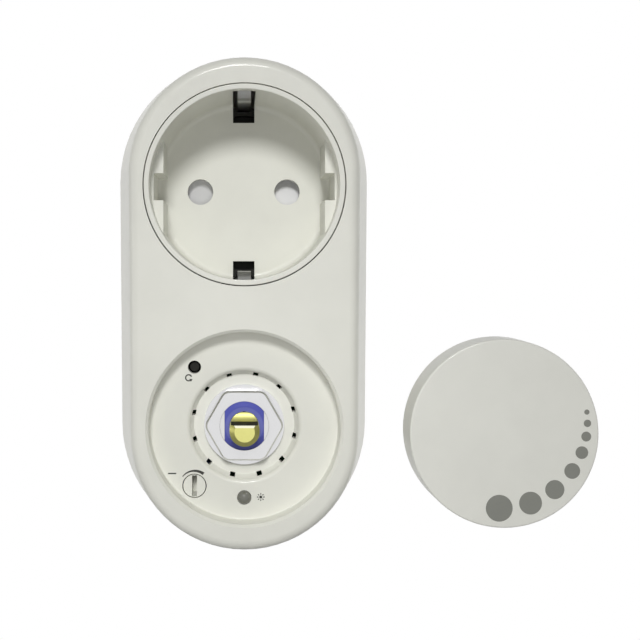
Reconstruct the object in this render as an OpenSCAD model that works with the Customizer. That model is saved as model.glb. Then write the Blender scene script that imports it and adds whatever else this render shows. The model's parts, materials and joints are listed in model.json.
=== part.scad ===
// Plug-in dimmer: a stadium case with an earthed socket above, a rotary push dimmer below
// and an earthed plug on its back. The knob lies pulled off beside the case.
// Row frame: +Z up, front towards -Y, origin midway between the plug pins on the plug face.
// The pieces are drawn in a bench frame, x right, y up and z towards the user, and stood up by bench().

/* [Case] */
// Back of the case to its front face
case_depth = 36; // [34:0.5:44]
// Front face to the parting line of the two halves
parting_depth = 21; // [18:0.5:23]
// Radius of the top end of the front face, at its sharp corner
top_radius = 23.2; // [22.5:0.1:27]
// Radius of the bottom end of the front face, at its sharp corner
bottom_radius = 22.75; // [22.5:0.05:27]
// Height of the top end's centre above the socket axis
arc_up = 2.4; // [0:0.1:5]
// Distance of the bottom end's centre below the dial axis
arc_down = 1.7; // [0:0.1:4]
// Draft of the front half's side wall, in degrees
side_draft = 11.5; // [6:0.5:13]
// Draft of the rear half's side wall, in degrees
rear_draft = 2; // [0.5:0.5:4]
// Fillet of the front edge
front_fillet = 2.2; // [1:0.1:3]
// Fillet of the back edge
rear_fillet = 2; // [1:0.1:3]
// Wall of both halves
wall = 2; // [1.6:0.1:2.4]

/* [Plug] */
// Spacing of the plug pins and of the socket's pin holes
pin_spacing = 19; // [18:0.5:20]
// Diameter of a plug pin
pin_d = 4.8; // [4:0.1:5]
// Free length of a plug pin
pin_length = 19; // [17:0.5:20]
// Radius of the round plug
plug_r = 18.25; // [18:0.05:18.6]
// Height of the plug, from its face to the back of the case
plug_depth = 17; // [15:0.5:18]
// Thickness of the plug's face
plug_floor = 3; // [2:0.5:4]
// Radius of the plug's hollow
plug_hollow_r = 14.3; // [13.6:0.1:14.6]
// Half width of the plug across its side flats
plug_flat_x = 16.3; // [16:0.05:16.4]
// Width of the key on each side flat
plug_key_w = 5; // [4:0.1:5.3]

/* [Socket] */
// Inner radius of the socket cup
cup_r = 19.25; // [19:0.05:19.5]
// Wall of the socket cup
cup_wall = 1.1; // [0.8:0.05:1.3]
// Depth of the socket cup
cup_depth = 17.5; // [16:0.5:18]
// Thickness of the socket cup's floor
cup_floor = 1.6; // [1.2:0.1:2]
// Fillet between the cup's floor and wall
cup_fillet = 1.2; // [0.5:0.1:1.6]
// Gap ring between the cup and the front cover
insert_gap = 0.2; // [0.15:0.05:0.4]
// Radius of a pin hole in the cup's floor
pin_hole_r = 2.8; // [2.7:0.05:3]
// Half width of the socket across its side ribs
rib_x = 16.7; // [16.6:0.05:17]
// Drop of the side ribs below the cup's rim
rib_drop = 5; // [3:0.5:8]
// Width of the notch in each side rib
notch_w = 5.6; // [5.5:0.05:6]
// Width of an earth slot
earth_slot_w = 4.7; // [4.2:0.1:5.2]
// Inner end of an earth slot, from the socket axis
earth_slot_in = 15.15; // [14.6:0.05:16]
// Height of the chamber that the shutter turns in
chamber_h = 2.5; // [2.2:0.1:3]
// Turn that opens the shutter, in degrees
shutter_swing = 42; // [40:1:45]

/* [Dial] */
// Distance of the dial axis below the socket axis
dial_drop = 49.2; // [48:0.2:54]
// Radius of the dial recess
recess_r = 19.45; // [19.2:0.05:19.8]
// Depth of the dial recess
recess_depth = 4.5; // [4:0.1:5.4]
// Radius of the well in the middle of the recess, at its mouth
well_r = 11.1; // [10.6:0.1:11.3]
// Depth of the well
well_depth = 2.4; // [2.2:0.1:3]
// Number of vent slots in the well's wall
vent_count = 12; // [8:1:16]
// Width of a vent slot
vent_w = 1.1; // [0.8:0.1:1.3]
// Height of a vent slot above the well's floor
vent_h = 1.2; // [0.8:0.05:1.3]

/* [Dimmer control] */
// Radius of the bushing's thread
bushing_r = 5; // [4.6:0.1:5.2]
// Width of the bushing across its two flats
bushing_flats = 8; // [7.4:0.1:9]
// Height of the bushing above the nut
bushing_proud = 0.4; // [0.2:0.1:0.8]
// Width of the nut across its flats
nut_flats = 14.3; // [13:0.1:14.4]
// Height of the nut
nut_h = 2.1; // [1.6:0.1:2.4]
// Radius of the washer
washer_r = 8.28; // [8.2:0.02:9]
// Thickness of the washer
washer_h = 1.1; // [0.6:0.1:1.4]
// Radius of the shaft
shaft_r = 3; // [2.6:0.1:3.2]
// Reach of the shaft in front of the case's front face
shaft_reach = 4.6; // [4:0.1:6]
// Height of the shaft's flat above its axis
flat_height = 1.25; // [1:0.05:1.8]
// Length of the shaft's flat
flat_length = 5.7; // [5:0.1:7]
// Travel of the push switch
press_travel = 1.5; // [0.5:0.1:1.6]
// Radius of the potentiometer's body
pot_r = 8.2; // [7.6:0.1:9]
// Height of the push switch behind the potentiometer
switch_h = 8.2; // [7.6:0.1:9]

/* [Knob] */
// Radius of the knob's face
knob_r = 18.4; // [17.8:0.05:18.8]
// Height of the knob's rim
knob_h = 7.2; // [6:0.1:7.5]
// Thickness of the knob's face
knob_face = 1.7; // [1.4:0.1:2]
// Distance of the pulled-off knob to the right of the dial axis
knob_aside = 50.6; // [49:0.1:70]

/* [Small controls] */
// Reset hole, across from the dial axis
reset_x = -10.25; // [-11:0.05:-9.6]
// Reset hole, above the dial axis
reset_y = 12; // [11.6:0.1:13]
// Radius of the reset hole
reset_hole_r = 1.35; // [1.2:0.05:1.5]
// Radius of the reset button
reset_r = 0.95; // [0.8:0.05:1.05]
// Travel of the reset button
reset_travel = 0.4; // [0.2:0.05:0.4]
// Trim spindle, across from the dial axis
trim_x = -10.25; // [-10.6:0.05:-9.6]
// Trim spindle, above the dial axis
trim_y = -12.45; // [-12.6:0.05:-12]
// Radius of the trim spindle's head
trim_r = 2.3; // [2:0.1:2.4]
// Width of the trim spindle's slot
trim_slot_w = 1; // [0.8:0.1:1.2]
// Gap ring round the trim spindle's head
trim_gap = 0.2; // [0.1:0.05:0.3]
// Indicator lens, above the dial axis
led_y = -14.85; // [-15.2:0.05:-14.4]
// Radius of the indicator lens
led_r = 1.43; // [1.3:0.01:1.5]

/* [Inside] */
// Height of the circuit board above the inside of the back
board_standoff = 10; // [9.8:0.1:11]
// Thickness of the circuit board
board_t = 1.6; // [1.2:0.2:1.6]
// Radius of a case screw's shank
screw_r = 1.45; // [1.2:0.05:1.5]
// Length of a case screw's shank
screw_length = 18; // [14:1:20]
// Radius of a wire
wire_r = 1; // [0.8:0.05:1.05]
// Thickness of the sheet-metal contacts
sheet_t = 0.6; // [0.4:0.05:0.7]

/* [Fits] */
// Running fit between a turning or sliding piece and its hole
run_fit = 0.05; // [0.03:0.01:0.08]
// Loose fit between pieces that pass each other
loose_fit = 0.3; // [0.2:0.05:0.4]

/* [Hidden] */

$fn = 64;
over = 1;
case_fn = 64;
fillet_steps = 6;
arc_steps = 8;

// Colours
shell_color = "#d6d6cf";
metal_color = "#c9cacc";
brass_color = "#d9c65a";

// Heights in the bench frame, from the plug face towards the user
back_z = plug_depth;
floor_z = back_z + wall;
front_z = back_z + case_depth;
part_z = front_z - parting_depth;
cup_z = front_z - cup_depth;
insert_back_z = cup_z - cup_floor;
carrier_z = insert_back_z - chamber_h;
recess_z = front_z - recess_depth;
well_z = recess_z - well_depth;
well_back_z = well_z - wall;
washer_z = well_z + washer_h;
nut_z = washer_z + nut_h;
bushing_z = nut_z + bushing_proud;
shaft_z = front_z + shaft_reach;
board_z = floor_z + board_standoff;
board_front_z = board_z + board_t;
pot_z = board_front_z + switch_h;

// Case outline
dial_y = -dial_drop;
arc_bottom_y = dial_y - arc_down;
part_grow = parting_depth * tan(side_draft);
top_part_r = top_radius + part_grow;
bottom_part_r = bottom_radius + part_grow;
hole_r = cup_r + cup_wall + insert_gap;
// The front edge's fillet keeps within the rim round the socket
rim_share = 0.9;
edge_fillet = min(front_fillet, rim_share * (top_radius - hole_r));

// Case screws
screw_inset = 5.4;
top_screw_angle = 52;
bottom_screw_angle = -38;
screw_head_r = 2.75;
screw_head_h = 2;
screw_sink = 7;
pillar_r = 2.6;
tube_r = 4;
screw_spots = [for (side = [1, -1]) each [
    [side * (top_part_r - screw_inset) * cos(top_screw_angle),
        arc_up + (top_part_r - screw_inset) * sin(top_screw_angle)],
    [side * (bottom_part_r - screw_inset) * cos(bottom_screw_angle),
        arc_bottom_y + (bottom_part_r - screw_inset) * sin(bottom_screw_angle)]]];

// Plug and socket
pin_x = pin_spacing / 2;
pin_r = pin_d / 2;
pin_step = 0.2;
pin_shank_r = pin_r - pin_step;
pin_tail = 3;
pin_carrier_h = 8;
pin_carrier_z = plug_floor + pin_carrier_h;
pin_end_z = pin_carrier_z + pin_tail;
carrier_inset = 0.45;
carrier_r = cup_r - carrier_inset;
chamber_wall = 1.8;
chamber_r = carrier_r - chamber_wall;
contact_r = pin_r + run_fit;
contact_wall = 0.8;
contact_lift = 1.2;
contact_z = floor_z + contact_lift;
contact_drop = 1;
contact_top_z = carrier_z - contact_drop;
pocket_r = contact_r + contact_wall + loose_fit;
tongue_w = 2.7;
tongue_bulge = 0.7;
tongue_flare = 1.9;
tongue_inset = 0.7;
tongue_y = carrier_r - tongue_inset;
tongue_low_z = cup_z;
tongue_drop = 2.4;
tongue_top_z = front_z - tongue_drop;
crest_drop = 5;
crest_z = front_z - crest_drop;
earth_slot_top = 2;
strap_w = 4.4;
strip_w = 4;
strip_bulge = 1.1;
groove_depth = 1.7;
groove_y = plug_r - groove_depth;
spigot_wall = 1.3;
spigot_r = plug_hollow_r + spigot_wall;
strip_low_z = 2;
strip_foot = 3;
strip_end_z = back_z - strip_foot;
strip_seat = 0.1;
shutter_spring_w = 1;
shutter_spring_r = chamber_r - loose_fit;
shutter_edge = 4;
shutter_r = pin_x + shutter_edge;
shutter_t = chamber_h - 2 * loose_fit;
shutter_z = carrier_z + loose_fit;
hub_pin_r = 1.6;
ramp_slope = 13;
ramp_sink = 0.85;
ramp_side = 0.6;
ramp_w = 2 * (pin_hole_r + ramp_side);
lug_angle = 60;
lug_w = 5;
spring_arc = 50;
stop_arc = 6;
channel_side = 2.2;
channel_low_x = -pin_x - wire_r - channel_side;
channel_room = 8.4;
channel_w = 2 * wire_r + channel_room;
channel_head = 2.4;
channel_h = 2 * wire_r + channel_head;

// Dimmer control
slider_wall = 0.2;
slider_r = shaft_r + slider_wall;
stub_r = shaft_r / 2;
stub_length = 2.2;
slider_drop = 0.8;
slider_top_z = pot_z - slider_drop;
// Room for the slider's travel and the closed spring under it
spring_closed = 1.9;
slider_z = board_front_z + press_travel + spring_closed;
shaft_low_z = slider_top_z + loose_fit;
shaft_chamfer = 1;
flat_low_z = shaft_z - flat_length;
runout_r = 1.6;
flat_edge = 0.42;
nut_corner = 2;
nut_edge = 0.35;
key_drop = 0.05;

// Knob
knob_draft = 0.15;
knob_wall = 1.7;
knob_edge = 0.35;
hub_r = 5;
press_clear = 0.4;
hub_clear = press_travel + press_clear;
stiffener_r = 9.5;
stiffener_w = 1;
stiffener_h = 2.4;
face_z = shaft_z + knob_face;
face_back_z = shaft_z;
knob_z = face_z - knob_h;
hub_z = bushing_z + hub_clear;
bore_gap = 0.05;
clip_w = 0.5;
clip_h = 1.4;

// Small controls
reset_sink = 1.1;
reset_seat = 1;
reset_top_z = recess_z - reset_sink;
tact_w = 6;
tact_h = 3.5;
trim_w = 6;
trim_h = 7.4;
trim_neck_r = 1.3;
trim_head_h = 6.5;
trim_slot_d = 5.1;
trim_slot_end = 0.15;
trim_seat = 2;
trim_seat_z = board_front_z + trim_h - trim_seat;
led_flange = 0.45;
led_flange_r = led_r + led_flange;
led_flange_h = 1;
led_seat = 0.2;
led_low_z = recess_z - wall - led_flange_h - led_seat;
led_sink = 0.2;
led_dome = 1.2;

// Board and what stands on it
board_gap = 1.2;
board_top_gap = 5.2;
board_top_y = -carrier_r - board_top_gap;
inner_gap = 0.8;
capacitor_size = [17, 12];
capacitor_x = 0.5;
capacitor_y = screw_spots[1][1] + tube_r + inner_gap;
capacitor_lift = 0.6;
choke_x = 9;
choke_in_r = 4.6;
choke_out_r = 8.6;
choke_wrap = 1;
choke_lift = 1.2;
choke_low_z = floor_z + choke_lift;
choke_core_h = board_z - choke_wrap - choke_low_z;
choke_y = capacitor_y + capacitor_size[1] + loose_fit + choke_out_r + choke_wrap;
post_r = 2.2;
post_aside = 10.5;
post_x = choke_x + post_aside;
post_rise = 7.5;
post_y = choke_y + post_rise;
heat_w = 20;
heat_h = 19;
heat_t = 1.5;
heat_gap = 2;
heat_x = capacitor_x - heat_w - heat_gap;
heat_y = post_y - post_r - inner_gap - heat_h;
package_inset = [5, 1];
package_w = 10;
package_h = 15;
package_t = 4.5;
fuse_x = 14.6;
fuse_drop = 8.8;
fuse_y = dial_y - fuse_drop;
fuse_length = 20;
fuse_r = 2.6;
fuse_lift = 1;
fuse_z = board_front_z + fuse_r + fuse_lift;
varistor_drop = 6;
chip_size = [6, 10, 2.4];
chip_x = -21;
chip_drop = 4.8;

// Leads from the line pin and to the line contact
lead_lift = 1.2;
lead_z = floor_z + wire_r + lead_lift;
lead_turn = 3.5;
lead_rise = 8.5;
lead_past = 3;
lead_end = 2.5;
lead_end_y = board_top_y - lead_end;
lead_drop = 3;

function arc(cx, cy, r, from, to, steps = arc_steps) =
    [for (i = [0 : steps]) let (a = from + (to - from) * i / steps) [cx + r * cos(a), cy + r * sin(a)]];

// Growth of the front half's outline at height z, over its size at the front face
function front_grow(z) = (front_z - z) * tan(side_draft);
// Growth of the rear half's outline at height z, over the front face's size
function rear_grow(z) = part_grow - (part_z - z) * tan(rear_draft);
// Tongue's inner face at height z: it leans in up to its crest and flares out to its tip
function tongue_in(z) = tongue_y + (z < crest_z ?
    -tongue_bulge * pow(sin(90 * (z - tongue_low_z) / (crest_z - tongue_low_z)), 2) :
    tongue_flare * (1 - cos(90 * (z - crest_z) / (tongue_top_z - crest_z))) - tongue_bulge);
// Earth strip's inner face at height z
function strip_in(z) = groove_y + strip_seat + (z < strip_end_z ?
    strip_bulge * pow(sin(180 * (z - strip_low_z) / (strip_end_z - strip_low_z)), 2) : 0);

// Stands the bench frame up in the row frame
module bench() rotate([90, 0, 0]) children();

// Children about the dial axis, or about a spot beside it
module at_dial(x = 0, y = 0, z = 0) translate([x, dial_y + y, z]) children();

module disc(r, low, high, x = 0, y = 0) translate([x, y, low]) cylinder(r = r, h = high - low);

// Block from its lowest to its highest corner
module block(low, high) translate(low) cube(high - low);

// Both ends of the case through a list of [height, growth] rings, joined into one drafted stadium
module case_form(rings) {
    hull() for (i = [0 : len(rings) - 2]) for (end = [[top_radius, arc_up], [bottom_radius, arc_bottom_y]])
        translate([0, end[1], rings[i][0]])
            cylinder(r1 = end[0] + rings[i][1], r2 = end[0] + rings[i + 1][1],
                h = rings[i + 1][0] - rings[i][0], $fn = case_fn);
}

module front_outer() {
    center_grow = edge_fillet * (tan(side_draft) - 1 / cos(side_draft));
    case_form(concat([[part_z, part_grow]], [for (i = [0 : fillet_steps])
        let (a = side_draft + (90 - side_draft) * i / fillet_steps)
        [front_z - edge_fillet * (1 - sin(a)), center_grow + edge_fillet * cos(a)]]));
}

module front_inner() {
    case_form([[part_z - over, part_grow - wall], [part_z, part_grow - wall],
        [front_z - wall, front_grow(front_z - wall) - wall]]);
}

module rear_outer() {
    center_grow = rear_grow(back_z) + rear_fillet * (tan(rear_draft) - 1 / cos(rear_draft));
    case_form(concat([for (i = [0 : fillet_steps])
        let (a = 90 - (90 - rear_draft) * i / fillet_steps)
        [back_z + rear_fillet * (1 - sin(a)), center_grow + rear_fillet * cos(a)]], [[part_z, part_grow]]));
}

module rear_inner() {
    case_form([[floor_z, rear_grow(floor_z) - wall], [part_z, part_grow - wall],
        [part_z + over, part_grow - wall]]);
}

// Space of the dial recess, with a chamfered rim and a rounded floor
module recess_space() {
    rim = 0.55;
    draft = 0.05;
    low_fillet = 0.3;
    floor_r = recess_r - draft - low_fillet;
    at_dial() rotate_extrude() polygon(concat(
        [[0, recess_z], [floor_r, recess_z]],
        arc(floor_r, recess_z + low_fillet, low_fillet, -90, 0),
        [[recess_r, front_z - rim], [recess_r + rim, front_z], [recess_r + rim, front_z + over],
            [0, front_z + over]]));
}

// Space of the well in the recess floor, with soft edges
module well_space() {
    rim = 1;
    draft = 0.6;
    low_fillet = 0.15;
    floor_r = well_r - draft - low_fillet;
    at_dial() rotate_extrude() polygon(concat(
        [[0, well_z], [floor_r, well_z]],
        arc(floor_r, well_z + low_fillet, low_fillet, -90, 0),
        arc(well_r + rim, recess_z - rim, rim, 180, 90),
        [[well_r + rim, recess_z + over], [0, recess_z + over]]));
}

// Slots at the foot of the well's wall, open to the inside of the case
module vent_slots() {
    first = 77;
    floor_cut = 0.8;
    at_dial() for (i = [0 : vent_count - 1]) rotate(first - i * 360 / vent_count)
        block([well_r - floor_cut, -vent_w / 2, well_back_z - over],
            [well_r + wall + over, vent_w / 2, well_z + vent_h]);
}

module screw_pillars(low, high) {
    for (s = screw_spots) disc(pillar_r, low, high, s[0], s[1]);
}

module front_cover() {
    color(shell_color) bench() difference() {
        union() {
            difference() {
                front_outer();
                front_inner();
            }
            screw_pillars(board_z, part_z + over);
            intersection() {
                front_outer();
                screw_pillars(part_z, front_z - wall / 2);
            }
            disc(recess_r + wall, recess_z - wall, front_z - wall / 2, 0, dial_y);
            disc(well_r + wall, well_back_z, recess_z - wall / 2, 0, dial_y);
        }
        disc(hole_r, part_z - over, front_z + over);
        recess_space();
        well_space();
        vent_slots();
        disc(bushing_r + loose_fit / 2, well_back_z - over, well_z + over, 0, dial_y);
        at_dial(reset_x, reset_y) disc(reset_hole_r, recess_z - wall - over, recess_z + over);
        at_dial(trim_x, trim_y) disc(trim_r + trim_gap, recess_z - wall - over, recess_z + over);
        at_dial(0, led_y) disc(led_r + run_fit, recess_z - wall - over, recess_z + over);
        at_dial(0, led_y) disc(led_flange_r + loose_fit, well_back_z - over, recess_z - wall);
        for (s = screw_spots) disc(screw_r + run_fit, board_z - over, board_z + screw_length, s[0], s[1]);
    }
}

// Round plug with a filleted face, side flats with keys, earth grooves and a spigot into the back
module plug_body() {
    edge = 1;
    flat_w = 2 * plug_r;
    color(shell_color) bench() difference() {
        rotate_extrude() polygon(concat(
            [[0, 0]],
            arc(plug_r - edge, edge, edge, -90, 0),
            [[plug_r, back_z], [spigot_r, back_z], [spigot_r, floor_z], [0, floor_z]]));
        disc(plug_hollow_r, plug_floor, floor_z + over);
        for (side = [1, -1]) {
            disc(pin_shank_r + run_fit, -over, plug_floor + over, side * pin_x);
            for (end = [1, -1])
                block([side > 0 ? plug_flat_x : -flat_w, end > 0 ? plug_key_w / 2 : -flat_w, -over],
                    [side > 0 ? flat_w : -plug_flat_x, end > 0 ? flat_w : -plug_key_w / 2, back_z]);
            block([-strap_w / 2, side > 0 ? groove_y : -flat_w, -over],
                [strap_w / 2, side > 0 ? flat_w : -groove_y, back_z]);
        }
    }
}

module rear_cover() {
    slot_y = groove_y + sheet_t + loose_fit;
    color(shell_color) bench() difference() {
        union() {
            difference() {
                rear_outer();
                rear_inner();
            }
            intersection() {
                rear_outer();
                for (s = screw_spots) disc(tube_r, back_z, board_z, s[0], s[1]);
            }
            for (side = [1, -1]) disc(post_r, floor_z - wall / 2, board_z, side * post_x, post_y);
        }
        disc(spigot_r + run_fit, back_z - over, floor_z + over);
        for (side = [1, -1])
            block([-strap_w / 2, side > 0 ? groove_y : -slot_y, back_z - over],
                [strap_w / 2, side > 0 ? slot_y : -groove_y, floor_z + over]);
        for (s = screw_spots) {
            disc(screw_head_r + loose_fit / 2, back_z - over, back_z + screw_sink, s[0], s[1]);
            disc(screw_r + loose_fit / 2, back_z, board_z + over, s[0], s[1]);
        }
    }
}

// Side rib of the socket cup with its notch, on the side of positive x
module cup_rib() {
    difference() {
        intersection() {
            disc(cup_r + cup_wall / 2, cup_z - cup_floor / 2, front_z - rib_drop);
            block([rib_x, -cup_r, cup_z - cup_floor], [2 * cup_r, cup_r, front_z]);
        }
        block([rib_x - over, -notch_w / 2, cup_z], [cup_r - cup_wall / 2, notch_w / 2, front_z]);
    }
}

module socket_insert() {
    rim = 0.2;
    outer_r = cup_r + cup_wall;
    color(shell_color) bench() difference() {
        union() {
            rotate_extrude() polygon(concat(
                [[0, insert_back_z], [outer_r, insert_back_z]],
                arc(outer_r - rim, front_z - rim, rim, 0, 90),
                arc(cup_r + rim, front_z - rim, rim, 90, 180),
                arc(cup_r - cup_fillet, cup_z + cup_fillet, cup_fillet, 0, -90),
                [[0, cup_z]]));
            cup_rib();
            mirror([1, 0, 0]) cup_rib();
        }
        for (side = [1, -1]) {
            disc(pin_hole_r, insert_back_z - over, cup_z + over, side * pin_x);
            block([-earth_slot_w / 2, side > 0 ? earth_slot_in : -2 * cup_r, insert_back_z - over],
                [earth_slot_w / 2, side > 0 ? 2 * cup_r : -earth_slot_in, front_z - earth_slot_top]);
        }
    }
}

module shutter() {
    top_z = shutter_z + shutter_t;
    color("#cfcfcf") bench() difference() {
        union() {
            disc(shutter_r, shutter_z, top_z);
            rotate(lug_angle) block([0, -lug_w / 2, shutter_z], [chamber_r - loose_fit, lug_w / 2, top_z]);
        }
        disc(hub_pin_r + run_fit, shutter_z - over, top_z + over);
        for (turn = [0, 180]) rotate(turn) {
            rotate(shutter_swing) disc(pin_hole_r + loose_fit, shutter_z - over, top_z + over, pin_x);
            translate([pin_x - ramp_w / 2, 0, top_z - ramp_sink]) rotate([-ramp_slope, 0, 0])
                translate([0, -ramp_sink / sin(ramp_slope), 0])
                    cube([ramp_w, 2 * ramp_sink / sin(ramp_slope), 2 * shutter_t]);
        }
    }
}

module shutter_spring() {
    lug_half = asin(lug_w / 2 / shutter_spring_r);
    color(metal_color) bench() translate([0, 0, shutter_z + loose_fit])
        rotate(lug_angle - lug_half - spring_arc) rotate_extrude(angle = spring_arc - 1)
            translate([shutter_spring_r - shutter_spring_w, 0])
                square([shutter_spring_w, shutter_t - 2 * loose_fit]);
}

// Base behind the socket cup that holds the contacts, the shutter's pin and its stop
module contact_carrier() {
    stop_turn = lug_angle - asin(lug_w / 2 / shutter_spring_r) - spring_arc - stop_arc;
    stop_low_r = shutter_r + loose_fit;
    color("#26272a") bench() difference() {
        union() {
            disc(carrier_r, floor_z, carrier_z);
            difference() {
                disc(carrier_r, carrier_z - over, insert_back_z);
                disc(chamber_r, carrier_z - 2 * over, insert_back_z + over);
            }
            disc(hub_pin_r, carrier_z - over, insert_back_z - loose_fit);
            translate([0, 0, carrier_z - over]) rotate(stop_turn) rotate_extrude(angle = stop_arc)
                translate([stop_low_r, 0])
                    square([chamber_r + chamber_wall / 2 - stop_low_r, over + chamber_h / 2]);
        }
        for (side = [1, -1]) {
            disc(pocket_r, floor_z - over, carrier_z + over, side * pin_x);
            mirror([0, side > 0 ? 0 : 1, 0])
                block([-tongue_w / 2 - loose_fit, tongue_y - loose_fit, floor_z - over],
                    [tongue_w / 2 + loose_fit, 2 * carrier_r, insert_back_z + over]);
        }
        block([-strap_w / 2 - loose_fit, -2 * carrier_r, floor_z - over],
            [strap_w / 2 + loose_fit, 2 * carrier_r, floor_z + sheet_t + loose_fit]);
        block([channel_low_x, -2 * carrier_r, floor_z - over],
            [channel_low_x + channel_w, -contact_r, floor_z + channel_h]);
        block([pin_x - tongue_w / 2 - loose_fit, 0, floor_z - over],
            [pin_x + tongue_w / 2 + loose_fit, pocket_r + sheet_t + loose_fit, floor_z + channel_h]);
    }
}

// Split barrel that grips a pin pushed into the socket
module contact_barrel(side) {
    slit = 0.8;
    slit_foot = 2;
    color(brass_color) bench() difference() {
        disc(contact_r + contact_wall, contact_z, contact_top_z, side * pin_x);
        disc(contact_r, contact_z - over, contact_top_z + over, side * pin_x);
        translate([side * pin_x, 0, 0])
            block([side > 0 ? 0 : -2 * contact_r, -slit / 2, contact_z + slit_foot],
                [side > 0 ? 2 * contact_r : 0, slit / 2, contact_top_z + over]);
    }
}

module line_contact() contact_barrel(-1);
module neutral_contact() contact_barrel(1);

module earth_bow() {
    steps = 24;
    heights = [for (i = [0 : steps]) tongue_low_z + (tongue_top_z - tongue_low_z) * i / steps];
    color(metal_color) bench() {
        block([-strap_w / 2, -tongue_y - sheet_t, floor_z],
            [strap_w / 2, tongue_y + sheet_t, floor_z + sheet_t]);
        for (side = [0, 1]) mirror([0, side, 0])
            translate([-tongue_w / 2, 0, 0]) rotate([90, 0, 90]) linear_extrude(tongue_w)
                polygon(concat(
                    [[tongue_y + sheet_t, floor_z], [tongue_y, floor_z]],
                    [for (z = heights) [tongue_in(z), z]],
                    [for (i = [steps : -1 : 0]) [tongue_in(heights[i]) + sheet_t, heights[i]]]));
    }
}

module pin_carrier() {
    cavity_r = 3.5;
    cavity_floor = 2;
    color("#e4e2d8") bench() difference() {
        disc(plug_hollow_r - run_fit, plug_floor, pin_carrier_z);
        for (side = [1, -1])
            disc(pin_shank_r + run_fit, plug_floor - over, pin_carrier_z + over, side * pin_x);
        disc(cavity_r, plug_floor + cavity_floor, pin_carrier_z + over);
    }
}

// Plug pin with a rounded tip and a thinner shank inside the plug
module plug_pin(side) {
    tip = 0.8 * pin_r;
    color(metal_color) bench() translate([side * pin_x, 0, 0]) rotate_extrude() polygon(concat(
        [[0, -pin_length]],
        arc(pin_r - tip, tip - pin_length, tip, -90, 0),
        [[pin_r, 0], [pin_shank_r, 0], [pin_shank_r, pin_end_z], [0, pin_end_z]]));
}

module plug_pin_left() plug_pin(-1);
module plug_pin_right() plug_pin(1);

module plug_earth_strips() {
    steps = 24;
    heights = concat([for (i = [0 : steps]) strip_low_z + (strip_end_z - strip_low_z) * i / steps], [floor_z]);
    color(metal_color) bench() for (side = [0, 1]) mirror([0, side, 0])
        translate([-strip_w / 2, 0, 0]) rotate([90, 0, 90]) linear_extrude(strip_w)
            polygon(concat(
                [for (z = heights) [strip_in(z), z]],
                [for (i = [steps + 1 : -1 : 0]) [strip_in(heights[i]) + sheet_t, heights[i]]]));
}

// Strap from the right plug pin's inner end up to the neutral contact
module neutral_link() {
    back_y = contact_r + contact_wall + loose_fit / 2;
    link_drop = 1;
    color(brass_color) bench() {
        block([pin_x - tongue_w / 2, -pin_r / 2, pin_end_z],
            [pin_x + tongue_w / 2, back_y + sheet_t, pin_end_z + sheet_t]);
        block([pin_x - tongue_w / 2, back_y, pin_end_z],
            [pin_x + tongue_w / 2, back_y + sheet_t, floor_z + channel_h - link_drop]);
    }
}

// Round tube of radius r through a list of points, never running along the side vector
module tube(points, r, side) {
    around = 8;
    last = len(points) - 1;
    ring = [for (i = [0 : last]) let (
        run = points[min(i + 1, last)] - points[max(i - 1, 0)],
        u = cross(run, side) / norm(cross(run, side)),
        v = cross(run, u) / norm(run))
        for (k = [0 : around - 1]) points[i] + r * (cos(360 * k / around) * u + sin(360 * k / around) * v)];
    walls = [for (i = [0 : last - 1]) for (k = [0 : around - 1])
        let (p = i * around + k, q = i * around + (k + 1) % around)
        each [[p, q, p + around], [q, q + around, p + around]]];
    first_cap = [for (k = [1 : around - 2]) [0, k + 1, k]];
    last_cap = [for (k = [1 : around - 2]) [last * around, last * around + k, last * around + k + 1]];
    polyhedron(ring, concat(first_cap, walls, last_cap), convexity = 10);
}

module line_lead() {
    turn_z = pin_end_z + wire_r;
    color("#6b4a33") bench() tube([[-pin_x, pin_r / 2, turn_z], [-pin_x, -lead_turn, turn_z],
        [-pin_x, -lead_rise, lead_z], [-pin_x, -carrier_r - lead_past, lead_z],
        [-pin_x, lead_end_y, board_z - lead_drop], [-pin_x, lead_end_y, board_z]], wire_r, [1, 0, 0]);
}

module dimmed_lead() {
    lead_x = channel_low_x + channel_w - wire_r - inner_gap;
    touch_y = -contact_r - contact_wall - wire_r - loose_fit / 3;
    color("#3a3a3c") bench() tube([[wire_r - pin_x, touch_y, lead_z], [lead_x, touch_y - lead_past, lead_z],
        [lead_x, -carrier_r - lead_past, lead_z], [lead_x, lead_end_y, board_z - lead_drop],
        [lead_x, lead_end_y, board_z]], wire_r, [1, 0, 0]);
}

module main_board() {
    board_r = bottom_part_r - wall - board_gap;
    color("#2f6b45") bench() translate([0, 0, board_z]) linear_extrude(board_t) difference() {
        union() {
            translate([0, arc_bottom_y]) circle(r = board_r);
            translate([-board_r, arc_bottom_y]) square([2 * board_r, board_top_y - arc_bottom_y]);
        }
        for (s = screw_spots) translate([s[0], s[1]]) circle(r = pillar_r + loose_fit);
    }
}

module pot_body() {
    color("#8d9096") bench() at_dial() difference() {
        disc(pot_r, pot_z, well_back_z);
        disc(shaft_r + 2 * run_fit, pot_z - over, well_back_z + over);
    }
}

module pot_bushing() {
    chamfer = 0.9;
    chamfer_h = 0.5;
    color("#4b52a5") bench() at_dial() difference() {
        rotate_extrude() polygon([[shaft_r + run_fit, well_back_z], [bushing_r, well_back_z],
            [bushing_r, bushing_z - chamfer_h], [bushing_r - chamfer, bushing_z],
            [shaft_r + run_fit, bushing_z]]);
        for (side = [1, -1])
            block([side > 0 ? bushing_flats / 2 : -2 * bushing_r, -bushing_r, well_back_z - over],
                [side > 0 ? 2 * bushing_r : -bushing_flats / 2, bushing_r, bushing_z + over]);
    }
}

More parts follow.
